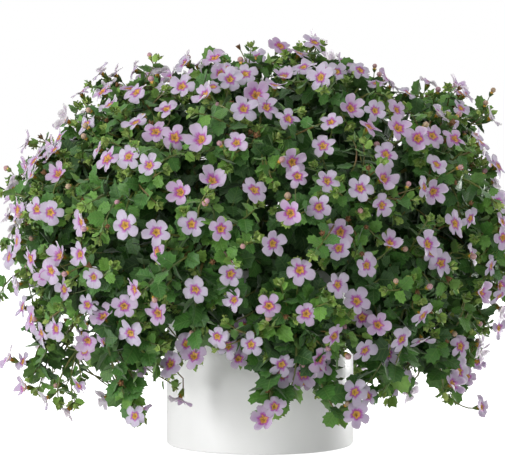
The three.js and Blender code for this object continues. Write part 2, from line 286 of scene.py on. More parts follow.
def calyxMaterial():
    material, tree, shader = newMaterial("calyx_green", {"Roughness": 0.55})
    green = addRamp(tree, tintOf(tree), [(0, (70, 96, 40)), (1, (140, 158, 70))])
    cloud = addMottle(tree, 500)
    darker = addMix(tree, addMath(tree, "MULTIPLY", cloud, 0.4), green, screenColour(60, 80, 34))
    feed(tree, shader, {"Base Color": darker})
    addBump(tree, shader, cloud, 0.0002, 0.3)
    return material


def thinLook(roughness, weight, radius, scale):
    # thin enough for light from behind to show
    return {
        "Roughness": roughness,
        "Subsurface Weight": weight,
        "Subsurface Radius": radius,
        "Subsurface Scale": scale,
    }


petalRings = [
    (0.0, (112, 112, 36)),
    (0.07, (168, 122, 34)),
    (0.15, (204, 164, 56)),
    (0.22, (186, 138, 54)),
    (0.25, (156, 64, 118)),
    (0.285, (150, 54, 142)),
    (0.36, (164, 108, 168)),
    (0.47, (177, 169, 187)),
    (0.98, (172, 162, 181)),
]


def petalMaterial():
    # the own map is the flower seen flat on, with its throat in the middle and the petals' ends 1 away
    material, tree, shader = newMaterial("petal_lilac", thinLook(0.55, 0.6, (1, 0.8, 1), 0.0006))
    away, turn = useGroup(tree, "from_middle", Stretch=2)
    tint = tintOf(tree)
    # streaks run outwards, so their noise changes round the flower and hardly along a petal
    outward = addNode(tree, "ShaderNodeCombineXYZ")
    along = addMath(tree, "MULTIPLY_ADD", tint, 20, away)
    feed(tree, outward, {0: addMath(tree, "COSINE", turn), 1: addMath(tree, "SINE", turn), 2: along})
    streaks = addNoise(tree, 3.4, 3, outward.outputs[0])
    blotches = addNoise(tree, 7, 2, ownMapParts(tree)[0])
    streaked, blotched = (addMath(tree, "SUBTRACT", noise, 0.5) for noise in (streaks, blotches))
    onPetal = addMath(tree, "COSINE", addMath(tree, "MULTIPLY_ADD", turn, 5, -2.5 * math.pi))
    # these bend the rings, and a pinker flower has a wider one
    bent = away
    for mask, by in ((streaked, -0.38), (onPetal, -0.035), (tint, -0.05), (blotched, 0.08)):
        bent = addMath(tree, "MULTIPLY_ADD", mask, by, bent)
    pinker = addMix(tree, tint, white, screenColour(255, 232, 250))
    coloured = addMix(tree, 1.0, addRamp(tree, bent, petalRings), pinker, "MULTIPLY")
    feed(tree, shader, {"Base Color": coloured})
    addBump(tree, shader, streaks, 0.0005, 0.5)
    return material


def petalBackMaterial():
    # paler than the front, with faint uneven lines
    material, tree, shader = newMaterial("petal_back", thinLook(0.6, 0.9, (1, 0.9, 1), 0.0012))
    lines = addNoise(tree, 9, 2, ownMapParts(tree)[0])
    paler = addRamp(tree, lines, [(0.3, (216, 198, 222)), (0.7, (234, 224, 238))])
    feed(tree, shader, {"Base Color": paler})
    addBump(tree, shader, lines, 0.0003, 0.4)
    return material


def budMaterial():
    material, tree, shader = newMaterial("bud_pink_tan", {"Roughness": 0.6})
    stops = [(0.0, (164, 152, 92)), (0.3, (166, 124, 114)), (0.9, (174, 128, 146))]
    own = addRamp(tree, tintOf(tree), stops)
    cloud = addMottle(tree, 300)
    faded = addMix(tree, addMath(tree, "MULTIPLY", cloud, 0.6), own, screenColour(192, 168, 162))
    # the five folded lobes: painted shade, a darker pink in the folds and where they meet at the top
    away, turn = useGroup(tree, "from_middle")
    lobes = addMath(tree, "COSINE", addMath(tree, "MULTIPLY", turn, 5))
    folds = addMath(tree, "MAXIMUM", addMath(tree, "MULTIPLY", lobes, -1), 0)
    top = addMath(tree, "MAXIMUM", addMath(tree, "MULTIPLY_ADD", away, -10, 1), 0)
    paintedFoldShade = addMath(tree, "MULTIPLY", addMath(tree, "MAXIMUM", folds, top), 0.55)
    # the painted shade in the folds and at the top mixes in the darker pink
    feed(tree, shader, {"Base Color": addMix(tree, paintedFoldShade, faded, screenColour(138, 84, 104))})
    addBump(tree, shader, cloud, 0.0002, 0.3)
    return material


# Camera, level with the crown's lower middle

view = {"lens": 111, "sensor": 36, "place": (-0.006, -1.255, 0.167)}

# Studio: a white backdrop all round, a key and a low fill from the left, and a rim light from behind

studio = {
    "floorSize": 12,
    "floorBelow": 0.0005,
    "floorTones": ((225, 225, 225), (246, 246, 246)),
    "floorGlow": 0.86,
    "floorBounce": 0.15,
    "backdropForLight": 0.66,
    "aim": (0, 0, 0.17),
    # each lamp's place, its width and height, and its power
    "lamps": {
        "key": ((-0.9, -1.35, 1.9), (1.3, 1.3), 17),
        # wide, so that the trails' shadows on the pot stay soft
        "fill": ((-1.6, -0.95, 0.13), (1.4, 0.6), 21.3),
        "rim": ((0.95, 0.75, 0.1), (0.3, 0.3), 9),
    },
}


def addCamera():
    camera = addToScene("camera", bpy.data.cameras.new("camera"))
    camera.data.lens = view["lens"]
    camera.data.sensor_width = view["sensor"]
    camera.location = view["place"]
    camera.rotation_euler = (math.pi / 2, 0, 0)
    bpy.context.scene.camera = camera


def addLamp(name, place, size, power):
    lamp = addToScene(name, bpy.data.lights.new(name, "AREA"))
    lamp.data.shape = "ELLIPSE"
    lamp.data.size, lamp.data.size_y = size
    lamp.data.energy = power
    lamp.location = place
    lamp.rotation_euler = (Vector(studio["aim"]) - Vector(place)).to_track_quat("-Z", "Y").to_euler()


def floorMaterial():
    material, tree, shader = newMaterial("studio_floor", {"Roughness": 0.9, "Emission Color": white})
    darker, lighter = (screenColour(*tone) for tone in studio["floorTones"])
    seen = addNode(tree, "ShaderNodeLightPath").outputs["Is Camera Ray"]
    bounce = studio["floorBounce"]
    glow = addMath(tree, "MULTIPLY_ADD", seen, studio["floorGlow"] - bounce, bounce)
    colour = addMix(tree, addMottle(tree, 2), darker, lighter)
    feed(tree, shader, {"Base Color": colour, "Emission Strength": glow})
    return material


def buildStudio():
    scene = bpy.context.scene
    scene.view_settings.view_transform = "Standard"
    scene.view_settings.look = "None"
    scene.world = bpy.data.worlds.new("backdrop")
    scene.world.use_nodes = True
    tree = scene.world.node_tree
    tree.nodes.clear()
    seen = addNode(tree, "ShaderNodeBackground")
    lighting = addNode(tree, "ShaderNodeBackground")
    feed(tree, seen, {"Color": white})
    feed(tree, lighting, {"Color": white, "Strength": studio["backdropForLight"]})
    # the camera and gloss see it full white, and it lights with less
    path = addNode(tree, "ShaderNodeLightPath").outputs
    shown = addMath(tree, "MAXIMUM", path["Is Camera Ray"], path["Is Glossy Ray"])
    mix = addNode(tree, "ShaderNodeMixShader")
    feed(tree, mix, {0: shown, 1: lighting.outputs[0], 2: seen.outputs[0]})
    feed(tree, addNode(tree, "ShaderNodeOutputWorld"), {0: mix.outputs[0]})
    for name, (place, size, power) in studio["lamps"].items():
        addLamp(name, place, size, power)
    bm = bmesh.new()
    bmesh.ops.create_grid(bm, x_segments=2, y_segments=2, size=studio["floorSize"] / 2)
    bmesh.ops.translate(bm, verts=bm.verts, vec=(0, 0, -studio["floorBelow"]))
    floor = finishMesh("studio_floor", bm, [floorMaterial()])


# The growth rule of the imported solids, so that every stem and flower stands where its solid does

crown = {
    "halfWidth": 208,
    "halfDepth": 200,
    "rise": 136,
    "drop": 160,
    "middle": 175,
    "ripple": 0.03,
    "poleCrowding": 0.1,
}
stemRule = {
    "count": 36,
    "turn": -25,
    "lowest": -0.68,
    "baseCircle": 57,
    "radius": 1.7,
    "upright": 4,
    "overRim": 50,
    "arch": 58,
    "headShare": 0.84,
    "soilTop": 128,
    "holeDepth": 14,
    "potHeight": 140,
    "bendShare": 0.45,
    "bendUnder": 10,
    "steps": 14,
}
flowerRule = {
    "count": 280,
    "spacing": 21.5,
    "largest": 11.2,
    "smallest": 8.8,
    "lean": 0.6,
    "rootOut": 12,
    "rootDepth": 3,
    "depth": 0.07,
    "lowestLevel": -0.95,
    "clearOfStalk": 2,
    "upAbove": 0.6,
    "upBelow": 0.35,
    "upMore": 0.12,
    "outward": 0.45,
    "strayAside": 1.0,
    "strayUp": 0.7,
}
skirt = {"level": -0.76, "trails": 8, "trailAt": 278, "trailDrop": 0.11, "sway": 0.04}
# azimuth, level, how far out, how wide
swells = [
    (0, 0.4, -0.07, 0.2),
    (0, 0.63, 0.18, 0.18),
    (0, 0.9, -0.06, 0.2),
    (350, 0.975, 0.14, 0.16),
    (180, 0.93, -0.1, 0.14),
    (186, 0.8, 0.09, 0.16),
    (180, 0.55, -0.13, 0.22),
    (225, 0.5, -0.07, 0.3),
    (186, -0.72, 0.22, 0.2),
    (352, -0.7, 0.13, 0.3),
    (60, 0.7, 0.08, 0.25),
    (120, 0.3, 0.06, 0.3),
    (85, -0.6, 0.08, 0.3),
]
drawRule = {"times": 1664525, "plus": 1013904223, "wrap": 2 ** 32}
seed = 20


def draw():
    global seed
    seed = (seed * drawRule["times"] + drawRule["plus"]) % drawRule["wrap"]
    return seed / drawRule["wrap"]


def unit(vector):
    return vector / np.linalg.norm(vector)


def direction(azimuth, level):
    flat = math.sqrt(max(0, 1 - level * level))
    return np.array([math.cos(azimuth) * flat, math.sin(azimuth) * flat, level])


swellPlaces = [(direction(math.radians(a), level), by, width) for a, level, by, width in swells]


def crownReach(azimuth, level):
    at = direction(azimuth, level)
    reach = 1 + crown["ripple"] * math.sin(3 * azimuth + 1) * math.cos(5 * level)
    for place, by, width in swellPlaces:
        away = np.linalg.norm(at - place) / width
        reach += by * math.exp(-away * away)
    return reach


def crownSize(level):
    return np.array([crown["halfWidth"], crown["halfDepth"], crown["rise" if level > 0 else "drop"]])


def crownPoint(azimuth, level, share):
    at = direction(azimuth, level) * (share * crownReach(azimuth, level)) * crownSize(level)
    at[2] += crown["middle"]
    return at


def crownNormal(azimuth, level):
    return unit(direction(azimuth, level) / crownSize(level))


def skirtLevel(azimuth):
    trails = skirt["trailDrop"] * math.cos(skirt["trails"] * (azimuth - math.radians(skirt["trailAt"])))
    return skirt["level"] - trails - skirt["sway"] * math.sin(2 * azimuth + 1)


def placeStems():
    placed = []
    for i in range(stemRule["count"]):
        azimuth = i * goldenAngle + math.radians(stemRule["turn"])
        share = (i + 0.5) / stemRule["count"]
        even = 1 - share * (1 - stemRule["lowest"])
        level = even * (1 + crown["poleCrowding"] * (1 - even * even))
        base = direction(azimuth, 0) * stemRule["baseCircle"] * math.sqrt(share)
        base[2] = stemRule["soilTop"]
        head = crownPoint(azimuth, level, stemRule["headShare"])
        facing = crownNormal(azimuth, level)
        placed.append({"azimuth": azimuth, "base": base, "head": head, "facing": facing, "flowers": []})
    return placed


def nearestStem(placed, point):
    heads = np.array([stem["head"] for stem in placed])
    return placed[int(np.argmin(np.linalg.norm(heads - point, axis=1)))]


def shootRoot(stem, at):
    out = at - stem["head"]
    out = out - stem["facing"] * out.dot(stem["facing"])
    length = np.linalg.norm(out)
    if length > flowerRule["rootOut"]:
        out = out / length * flowerRule["rootOut"]
    return stem["head"] + out - stem["facing"] * flowerRule["rootDepth"]


def distancesToLines(point, starts, ends):
    along = ends - starts
    t = np.clip(((point - starts) * along).sum(axis=1) / (along * along).sum(axis=1), 0, 1)
    return np.linalg.norm(point - (starts + along * t[:, None]), axis=1)


def facingOut(azimuth, level):
    # the way a flower looks before it strays: out of the crown, and not straight up on its top
    facing = crownNormal(azimuth, level)
    facing[2] = facing[2] * flowerRule["upBelow" if level < 0 else "upAbove"] + flowerRule["upMore"]
    return facing + direction(azimuth, 0) * flowerRule["outward"] * max(0, level)


def isCrowded(at, root, flowers):
    # too near another flower, on its stalk, or with another flower on the own stalk
    if not flowers:
        return False
    places = np.array([f["at"] for f in flowers])
    roots = np.array([f["root"] for f in flowers])
    keepOff = flowerRule["largest"] + flowerRule["clearOfStalk"]
    near = np.linalg.norm(places - at, axis=1) < flowerRule["spacing"]
    onStalk = distancesToLines(at, roots, places) < keepOff
    t = np.clip((places - root) @ (at - root) / ((at - root) @ (at - root)), 0, 1)
    underStalk = np.linalg.norm(places - (root + np.outer(t, at - root)), axis=1) < keepOff
    return (near | onStalk | underStalk).any()


def placeFlowers(placed):
    flowers = []
    while len(flowers) < flowerRule["count"]:
        azimuth = draw() * fullTurn
        level = 1 - draw() * (1 - flowerRule["lowestLevel"])
        depth = draw()
        if level < skirtLevel(azimuth):
            continue
        at = crownPoint(azimuth, level, 1 - flowerRule["depth"] * depth * depth)
        stem = nearestStem(placed, at)
        root = shootRoot(stem, at)
        if isCrowded(at, root, flowers):
            continue
        facing = facingOut(azimuth, level)
        for k, stray in enumerate(("strayAside", "strayAside", "strayUp")):
            facing[k] += (draw() - 0.5) * flowerRule[stray]
        facing = unit(facing + unit(at - root) * flowerRule["lean"])
        radius = flowerRule["smallest"] + (flowerRule["largest"] - flowerRule["smallest"]) * draw()
        bloom = {"at": at, "root": root, "facing": facing, "radius": radius, "roll": draw() * fullTurn}
        bloom.update(normal=crownNormal(azimuth, level), level=level, azimuth=azimuth)
        flowers.append(bloom)
        stem["flowers"].append(bloom)
    return flowers


def across(facing, roll=0.0):
    guide = np.array([1.0, 0, 0]) if abs(facing[2]) > 0.9 else np.array([0, 0, 1.0])
    x = unit(np.cross(guide, facing))
    y = np.cross(facing, x)
    return x * math.cos(roll) + y * math.sin(roll), y * math.cos(roll) - x * math.sin(roll)


def quadratic(start, bend, end, count):
    shares = np.linspace(0, 1, count + 1)[:, None]
    return (1 - shares) ** 2 * start + 2 * (1 - shares) * shares * bend + shares ** 2 * end


def stemWay(stem):
    base, head = stem["base"], stem["head"]
    foot = base.copy()
    foot[2] = stemRule["soilTop"] - stemRule["holeDepth"]
    start = base.copy()
    start[2] = stemRule["soilTop"] + stemRule["upright"]
    out, baseOut = (math.hypot(at[0], at[1]) for at in (head, base))
    bend = direction(stem["azimuth"], 0) * (baseOut + (out - baseOut) * stemRule["bendShare"])
    halfWay = (stemRule["soilTop"] + head[2]) / 2
    lowest = stemRule["potHeight"] + stemRule["overRim"]
    bend[2] = max(lowest, min(head[2] - stemRule["bendUnder"], halfWay + stemRule["arch"]))
    return np.vstack([foot, quadratic(start, bend, head, stemRule["steps"])])


# The materials of a stem's two pieces, in the order of their slots

foliageLooks = ("leafUpper", "leafUnder", "calyx", "bud", "tube", "stem", "spent")
bloomLooks = ("petal", "calyx", "petalBack")

# Leaf, unit long: base at the origin, tip along +Y, upper face +Z

leafShape = {
    "centre": 0.4,
    "side": 0.45,
    "point": 0.17,
    "heartBase": 0.1,
    "toothOut": 1.11,
    "notchIn": 0.87,
    "toothForward": 0.13,
    "toothStray": 0.04,
    "thickness": 0.03,
    "ribHalf": 0.05,
    "pucker": (0.02, 0.07),
    "wave": (-0.15, 0.15),
    "old": {"count": 8, "teeth": 4, "width": 1.0, "fold": (0.05, 0.5), "droop": (0.0, 0.4), "ribCuts": 2},
    "young": {"count": 6, "teeth": 3, "width": 0.85, "fold": (0.2, 0.7), "droop": (-0.3, 0.3), "ribCuts": 1},
    "newest": {"count": 5, "teeth": 2, "width": 0.7, "fold": (0.2, 0.8), "droop": (-0.4, 0.3), "ribCuts": 1},
    "inner": {"count": 5, "teeth": 3, "width": 1.05, "fold": (0.1, 0.35), "droop": (0.0, 0.35), "ribCuts": 1},
}


def swing(chance, by):
    return chance.uniform(-by, by)


def closeBlade(bm, thickness, underSlot):
    # gives a one-sided blade its underside, which meets it along the edge
    copied = bmesh.ops.duplicate(bm, geom=bm.faces[:])["geom"]
    under = [f for f in copied if isinstance(f, bmesh.types.BMFace)]
    bmesh.ops.reverse_faces(bm, faces=under)
    for face in under:
        face.material_index = underSlot
    for v in {v for f in under for v in f.verts if not v.is_boundary}:
        v.co.z -= thickness
    bmesh.ops.remove_doubles(bm, verts=bm.verts, dist=1e-5)


def mapFlat(bm, scale, offset):
    layer = bm.loops.layers.uv.verify()
    for face in bm.faces:
        for loop in face.loops:
            loop[layer].uv = loop.vert.co.xy * scale + Vector(offset)


def makeLeaf(chance, kind):
    shape, own = leafShape, leafShape[kind]
    fold, droop = (chance.uniform(*own[k]) for k in ("fold", "droop"))
    pucker, wave = (chance.uniform(*shape[k]) for k in ("pucker", "wave"))
    bm = bmesh.new()
    bmesh.ops.create_circle(bm, cap_ends=True, segments=4 * own["teeth"] + 2, radius=1)
    bm.verts.ensure_lookup_table()
    count = len(bm.verts)
    half = count // 2
    for k, v in enumerate(bm.verts):
        side = 1 if k <= half else -1
        step = k if k <= half else count - k
        angle = math.pi * step / half
        reach = shape["side"] + shape["point"] * max(0, math.cos(angle)) ** 3
        reach -= shape["heartBase"] * max(0, -math.cos(angle)) ** 6
        if 0 < step < half:
            tooth = step % 2 == 0
            reach *= shape["toothOut" if tooth else "notchIn"]
            reach *= 1 + swing(chance, shape["toothStray"])
            angle -= shape["toothForward"] if tooth else 0
        x = -side * math.sin(angle) * reach * own["width"]
        v.co = (x, shape["centre"] + math.cos(angle) * reach, 0)
    rib = bmesh.ops.connect_verts(bm, verts=[bm.verts[0], bm.verts[half]])["edges"]
    bmesh.ops.subdivide_edges(bm, edges=rib, cuts=own["ribCuts"])
    bmesh.ops.poke(bm, faces=bm.faces)
    mapFlat(bm, 1, (0.5, 0))
    for v in bm.verts:
        x, y = v.co.x, v.co.y
        v.co.z = fold * abs(x) - droop * y * y + wave * math.sin(9 * y + 2 * x) * abs(x) * 2
        if abs(x) > shape["ribHalf"] and not v.is_boundary:
            v.co.z += pucker
    closeBlade(bm, shape["thickness"], foliageLooks.index("leafUnder"))
    return shapeOf(bm)


# Flower, of unit radius, facing +Z, its throat at the origin

flowerShape = {
    "lobes": 5,
    "petalSides": 12,
    "petalMiddle": 0.63,
    "petalOut": 0.37,
    "petalIn": 0.45,
    "petalHalf": 0.375,
    "thickness": 0.03,
    # each petal's own length, width and twist, and how much its lift, turn and edge stray
    "longer": (-0.2, 0.06),
    "wide": (0.86, 1.1),
    "twist": (-0.35, 0.35),
    "liftStray": 0.22,
    "turnStray": 0.1,
    "edgeStray": 0.06,
    "bluntFrom": -0.3,
    "notch": 0.09,
    "cupDepth": 0.4,
    "ripple": 0.05,
    # from the funnel's middle up to where the lobes are joined, then down the tube behind
    "throat": (
        (0.0, -0.18), (0.12, -0.1), (0.24, 0.0), (0.37, 0.0), (0.17, -0.14), (0.12, -0.5), (0.0, -0.56),
    ),
    "throatSides": 8,
    "tubeMap": 0.07,
    "calyx": (-0.44, 0.4, 0.2),
    "opened": {"count": 9, "lift": (-0.1, 0.3), "curl": (0.0, 0.35), "cup": (-0.12, 0.25)},
    "cupped": {"count": 4, "lift": (0.4, 0.75), "curl": (0.0, 0.2), "cup": (0.2, 0.45)},
}


def addPetal(bm, chance, turn, lift, curl, cup):
    shape = flowerShape
    petal = bmesh.new()
    bmesh.ops.create_circle(petal, cap_ends=True, segments=shape["petalSides"], radius=1)
    petal.verts.ensure_lookup_table()
    ends = [petal.verts[0], petal.verts[shape["petalSides"] // 2]]
    middle = bmesh.ops.connect_verts(petal, verts=ends)["edges"]
    bmesh.ops.subdivide_edges(petal, edges=middle, cuts=1)
    bmesh.ops.poke(petal, faces=petal.faces)
    longer, wide, twist = (chance.uniform(*shape[k]) for k in ("longer", "wide", "twist"))
    phase = chance.uniform(0, fullTurn)
    lift += swing(chance, shape["liftStray"])
    uneven = [swing(chance, shape["edgeStray"]) for _ in petal.verts]
    for v, by in zip(petal.verts, uneven):
        u, along = v.co.x, v.co.y
        if v.is_boundary and along > shape["bluntFrom"]:
            # a blunt, slightly notched and uneven end
            square = 1 + shape["notch"] * abs(math.sin(2 * math.atan2(along, u))) + by
            u, along = u * square, along * square
        away = shape["petalMiddle"] + along * shape["petalOut" if along > 0 else "petalIn"]
        beyond = away - shape["petalMiddle"] + shape["petalIn"]
        z = lift * beyond - curl * beyond ** 2.5 + cup * u * u * shape["cupDepth"] + twist * u * beyond
        z += shape["ripple"] * math.sin(phase + 5 * u + 6 * away) * beyond
        v.co = (u * shape["petalHalf"] * wide, away * (1 + longer * beyond), z)
    bmesh.ops.rotate(petal, verts=petal.verts, matrix=Matrix.Rotation(turn, 3, "Z"))
    addMesh(bm, petal)


def addMesh(bm, other):
    carrier = bpy.data.meshes.new("carrier")
    other.to_mesh(carrier)
    other.free()
    bm.from_mesh(carrier)
    bpy.data.meshes.remove(carrier)


calyxShape = {"sides": 10, "foot": 0.35, "upperPart": 0.25, "tipUp": 0.55, "notchDown": 0.2, "flare": 1.35}


def addCalyx(bm, top, length, radius, slot=foliageLooks.index("calyx"), flare=calyxShape["flare"]):
    # five pointed sepals round the tube, joined at their base
    made = bmesh.ops.create_cone(
        bm, cap_ends=True, cap_tris=True, segments=calyxShape["sides"],
        radius1=radius * calyxShape["foot"], radius2=radius, depth=length,
    )["verts"]
    bmesh.ops.translate(bm, verts=made, vec=(0, 0, top - length / 2))
    lowest = top - length * calyxShape["upperPart"]
    upper = [v for v in made if v.co.z > lowest and v.co.xy.length > 1e-6]
    upper.sort(key=lambda v: math.atan2(v.co.y, v.co.x))
    for k, v in enumerate(upper):
        if k % 2:
            v.co = (v.co.x * flare, v.co.y * flare, v.co.z + length * calyxShape["tipUp"])
        else:
            v.co.z -= length * calyxShape["notchDown"]
    paint(made, slot)


def paint(verts, slot):
    for face in {f for v in verts for f in v.link_faces}:
        face.material_index = slot


def spinRound(bm, profile, steps):
    points = [bm.verts.new((x, 0, z)) for x, z in profile]
    edges = [bm.edges.new(pair) for pair in zip(points, points[1:])]
    bmesh.ops.spin(
        bm, geom=points + edges, cent=(0, 0, 0), axis=(0, 0, 1), dvec=(0, 0, 0),
        angle=fullTurn, steps=steps, use_merge=True, use_duplicate=False,
    )
    bmesh.ops.remove_doubles(bm, verts=bm.verts, dist=1e-6)
    bmesh.ops.recalc_face_normals(bm, faces=bm.faces)


def makeFlower(chance, kind):
    lift, curl, cup = (chance.uniform(*flowerShape[kind][k]) for k in ("lift", "curl", "cup"))
    back = bloomLooks.index("petalBack")
    middle = (0.5, 0.5)
    bm = bmesh.new()
    step = fullTurn / flowerShape["lobes"]
    for k in range(flowerShape["lobes"]):
        addPetal(bm, chance, k * step + swing(chance, flowerShape["turnStray"]), lift, curl, cup)
    mapFlat(bm, 0.5, middle)
    closeBlade(bm, flowerShape["thickness"], back)
    throat = bmesh.new()
    spinRound(throat, flowerShape["throat"], flowerShape["throatSides"])
    mapFlat(throat, 0.5, middle)
    # the tube behind is as yellow as the throat's middle
    layer = throat.loops.layers.uv.active
    for face in throat.faces:
        if min(v.co.z for v in face.verts) < flowerShape["calyx"][0]:
            for loop in face.loops:
                loop[layer].uv = Vector(middle) + loop.vert.co.xy.normalized() * flowerShape["tubeMap"]
        elif face.normal.z < 0:
            face.material_index = back
    addMesh(bm, throat)
    addCalyx(bm, *flowerShape["calyx"], slot=bloomLooks.index("calyx"))
    return shapeOf(bm)


# Buds and what is left after a flower, in units of their own radius. A calyx: its top, length and radius

budShape = {
    "sides": 10,
    "rings": 4,
    "crease": 0.1,
    "narrower": 0.2,
    "longer": 1.02,
    "up": 0.6,
    "neckSides": 6,
    "neckRadii": (0.42, 0.62),
    "neckLength": 1.5,
    "neckAt": -0.85,
    "calyx": (-0.9, 1.0, 0.75),
}
spentShape = {"calyx": (0, 1.6, 0.9), "flare": 1.3, "seedCase": 0.6, "seedCaseUp": 0.15}
tinyBudShape = {"wide": 0.8, "long": 1.3}


def makeBud():
    shape = budShape
    bm = bmesh.new()
    made = bmesh.ops.create_uvsphere(
        bm, u_segments=shape["sides"], v_segments=shape["rings"], radius=1,
    )["verts"]
    for v in made:
        # creased between the five lobes, and narrower below
        reach = 1 + shape["crease"] * math.cos(5 * math.atan2(v.co.y, v.co.x))
        reach *= 1 + shape["narrower"] * min(0, v.co.z)
        v.co = (v.co.x * reach, v.co.y * reach, v.co.z * shape["longer"] + shape["up"])
    paint(made, foliageLooks.index("bud"))
    lower, upper = shape["neckRadii"]
    neck = bmesh.ops.create_cone(
        bm, cap_ends=True, segments=shape["neckSides"], radius1=lower, radius2=upper,
        depth=shape["neckLength"],
    )["verts"]
    bmesh.ops.translate(bm, verts=neck, vec=(0, 0, shape["neckAt"]))
    paint(neck, foliageLooks.index("tube"))
    addCalyx(bm, *shape["calyx"])
    return budOf(bm)


def makeSpent():
    slot = foliageLooks.index("spent")
    bm = bmesh.new()
    addCalyx(bm, *spentShape["calyx"], slot, spentShape["flare"])
    seedCase = bmesh.ops.create_icosphere(bm, subdivisions=1, radius=spentShape["seedCase"])["verts"]
    bmesh.ops.translate(bm, verts=seedCase, vec=(0, 0, spentShape["seedCaseUp"]))
    paint(seedCase, slot)
    return budOf(bm)


def makeTinyBud():
    wide, long = tinyBudShape["wide"], tinyBudShape["long"]
    bm = bmesh.new()
    made = bmesh.ops.create_icosphere(bm, subdivisions=1, radius=1)["verts"]
    bmesh.ops.scale(bm, vec=(wide, wide, long), verts=made)
    paint(made, foliageLooks.index("calyx"))
    return budOf(bm)


def budOf(bm):
    mapFlat(bm, 0.25, (0.5, 0.5))
    return shapeOf(bm)


# A shape is kept as arrays, because thousands of copies are placed


def shapeOf(bm):
    mesh = bpy.data.meshes.new("shape")
    bm.to_mesh(mesh)
    bm.free()
    shape = arraysOf(mesh)
    bpy.data.meshes.remove(mesh)
    return shape


def arraysOf(mesh):
    def read(items, name, kind, width=1):
        values = np.empty(len(items) * width, dtype=kind)
        items.foreach_get(name, values)
        return values

    shape = {
        "points": read(mesh.vertices, "co", np.float32, 3).reshape(-1, 3),
        "corners": read(mesh.loops, "vertex_index", np.int32),
        "sides": read(mesh.polygons, "loop_total", np.int32),
        "slots": read(mesh.polygons, "material_index", np.int32),
        "map": np.zeros((len(mesh.loops), 2), dtype=np.float32),
    }
    if mesh.uv_layers:
        shape["map"] = read(mesh.uv_layers[0].uv, "vector", np.float32, 2).reshape(-1, 2)
    return shape


def joinCopies(name, copies, materials):
    # copies: (shape, 4x4 placing in metres, tint)
    def write(items, key, values, kind):
        items.foreach_set(key, values.astype(kind).ravel())

    joined = {k: np.concatenate([c[0][k] for c in copies]) for k in ("sides", "slots", "map")}
    sides = joined["sides"]
    counts = [len(shape["points"]) for shape, _, _ in copies]
    points = np.concatenate([shape["points"] @ place[:3, :3].T + place[:3, 3] for shape, place, _ in copies])
    firsts = np.cumsum([0] + counts)
    corners = np.concatenate([c[0]["corners"] + first for c, first in zip(copies, firsts)])
    tints = np.repeat([tint for _, _, tint in copies], counts)
    mesh = bpy.data.meshes.new(name)
    mesh.vertices.add(len(points))
    write(mesh.vertices, "co", points, np.float32)
    mesh.loops.add(len(corners))
    write(mesh.loops, "vertex_index", corners, np.int32)
    mesh.polygons.add(len(sides))
    write(mesh.polygons, "loop_start", np.concatenate([[0], np.cumsum(sides)[:-1]]), np.int32)
    write(mesh.polygons, "material_index", joined["slots"], np.int32)
    write(mesh.polygons, "use_smooth", np.ones(len(sides)), bool)
    write(mesh.uv_layers.new(name="ownMap").uv, "vector", joined["map"], np.float32)
    write(mesh.attributes.new("tint", "FLOAT", "POINT").data, "value", tints, np.float32)
    mesh.update(calc_edges=True)
    mesh.validate()
    mesh.set_sharp_from_angle(angle=math.radians(75))
    for material in materials:
        mesh.materials.append(material)
    return addToScene(name, mesh)


# Growing: everything on a stem is listed first, and then joined as its two pieces

shootRule = {
    "fillers": 600,
    "fillerShare": (0.86, 0.99),
    # this share of the fillers stands out further, and more so near the crown's top
    "sprigs": 0.13,
    "sprigOut": (0.99, 1.04),
    "sprigUp": 0.05,
    # azimuth, level and how wide: hollows in the crown's outline, where shoots stay short
    "hollows": ((182, 0.62, 0.22), (0, 0.45, 0.16), (0, 0.93, 0.12), (200, 0.4, 0.2)),
    "shortShare": 0.86,
    # azimuth, level and how far out: shoots that stand up from the outline
    "standing": (
        (350, 0.985, 0.98), (325, 0.975, 1.0), (0, 0.985, 0.97), (183, 0.9, 1.08), (176, 0.91, 1.06),
        (180, 0.84, 0.98), (0, 0.72, 1.02), (4, 0.74, 1.03), (356, 0.8, 1.05), (192, 0.972, 1.01),
        (172, 0.1, 1.0), (187, -0.1, 1.01), (182, -0.33, 1.06), (3, -0.15, 0.98), (180, 0.25, 1.02),
        (184, 0.48, 1.08),
    ),
    "steps": 6,
    "bendOut": 0.4,
    "bendOn": 0.25,
    "sway": 7,
    "goUnder": 12,
    "radii": (0.95, 0.45),
    "flowerPairs": 6,
    "thinPairs": 3,
    "fillerPairs": 7,
    # along a shoot from its tip: the way from one pair of leaves to the next, and the leaves' length
    "gaps": (1.5, 3, 5, 6, 8, 9, 10, 11, 11, 11),
    "sizes": (5, 7.5, 9.5, 11.5, 12.3, 12.6, 12.6, 12.6, 12.6, 12.6),
    # the free room that a flower keeps: beside it for leaves and for stalks, and behind and before it
    "keepClear": 8.5,
    "stalkClear": 6.5,
    "clearBehind": -4,
    "clearBefore": 20,
    "flowerBack": 9,
    "flowerAside": 8,
    "cupped": 0.13,
}
pairRule = {
    "gapStray": (0.85, 1.15),
    "sizeStray": (0.8, 1.15),
    "turnStray": 0.25,
    "fromStalk": 0.8,
    # counted from the tip: pairs that are young, the first plain one, and the first that is fully old
    "youngPairs": 2,
    "plainFrom": 6,
    "oldAt": 7,
    "rise": 0.45,
    "youngRise": 0.9,
    "riseStray": 0.3,
    "oldSink": 0.5,
    "oldHang": 0.25,
    "faceOn": 0.45,
    "faceOut": 0.45,
    "faceUp": 0.65,
    "faceStray": 0.35,
    "topStray": 0.5,
    "youngTint": 0.9,
    "tintDrop": 0.8,
    "tintBend": 0.55,
    "innerTint": 0.1,
    "tintStray": 0.1,
}
rosetteRule = {
    "leaves": 6,
    "turnStray": 0.3,
    "aside": (0.5, 0.9),
    "onward": (0.2, 1),
    "faceOn": 0.5,
    "faceIn": 0.3,
    "faceOut": 0.6,
    "sizes": (3.8, 6),
    "step": 0.3,
    "tints": (0.7, 1.0),
    "buds": 2,
    "budOn": (1, 3),
    "budStray": 1.4,
    "budRadius": (0.8, 1.2),
    "budTints": (0.5, 1),
}
